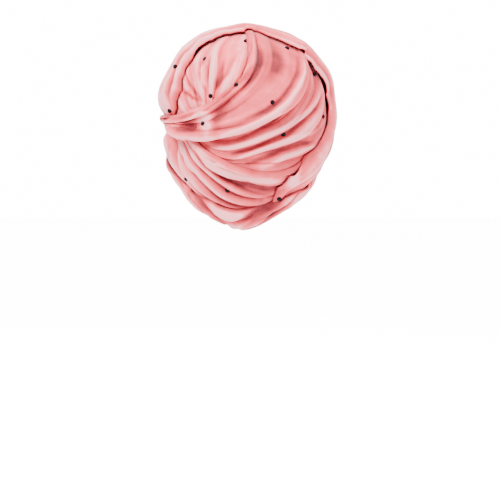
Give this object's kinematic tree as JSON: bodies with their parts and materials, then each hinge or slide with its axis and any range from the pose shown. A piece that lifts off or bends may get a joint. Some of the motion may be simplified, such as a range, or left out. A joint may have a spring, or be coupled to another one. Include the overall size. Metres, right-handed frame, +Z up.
{
  "type": "turban headwrap",
  "caption": "Pink velvet turban headwrap with gathered folds, a side knot at the wearer's left and scattered dark rhinestones.",
  "frame": {"origin": "crown seat: the point inside the cap where the top of the wearer's head bears", "axes": "+Z up with the head upright, -Y toward the face, +X toward the wearer's left, the side with the knot"},
  "size_m": [0.2022, 0.2121, 0.225],
  "materials": {
    "velvet": "soft sheen",
    "crystal": "polished"
  },
  "bodies": {
    "root": {"crown_cap": "velvet", "crown_fan": "velvet", "cross_wrap": "velvet", "nape_wrap": "velvet", "brow_wrap": "velvet", "front_wrap": "velvet", "crown_drape": "velvet", "rim_wrap": "velvet", "hem_roll": "velvet", "side_knot": "velvet", "rhinestone_01": "crystal", "rhinestone_02": "crystal", "rhinestone_03": "crystal", "rhinestone_04": "crystal", "rhinestone_05": "crystal", "rhinestone_06": "crystal", "rhinestone_07": "crystal", "rhinestone_08": "crystal", "rhinestone_09": "crystal", "rhinestone_10": "crystal", "rhinestone_11": "crystal", "rhinestone_12": "crystal", "rhinestone_13": "crystal", "rhinestone_14": "crystal", "rhinestone_15": "crystal", "rhinestone_16": "crystal", "rhinestone_17": "crystal", "rhinestone_18": "crystal", "rhinestone_19": "crystal", "rhinestone_20": "crystal", "rhinestone_21": "crystal", "rhinestone_22": "crystal", "rhinestone_23": "crystal", "rhinestone_24": "crystal", "rhinestone_25": "crystal", "rhinestone_26": "crystal", "rhinestone_27": "crystal", "rhinestone_28": "crystal", "rhinestone_29": "crystal", "rhinestone_30": "crystal", "rhinestone_31": "crystal", "rhinestone_32": "crystal", "rhinestone_33": "crystal", "rhinestone_34": "crystal", "rhinestone_35": "crystal", "rhinestone_36": "crystal", "rhinestone_37": "crystal"}
  },
  "joints": []
}
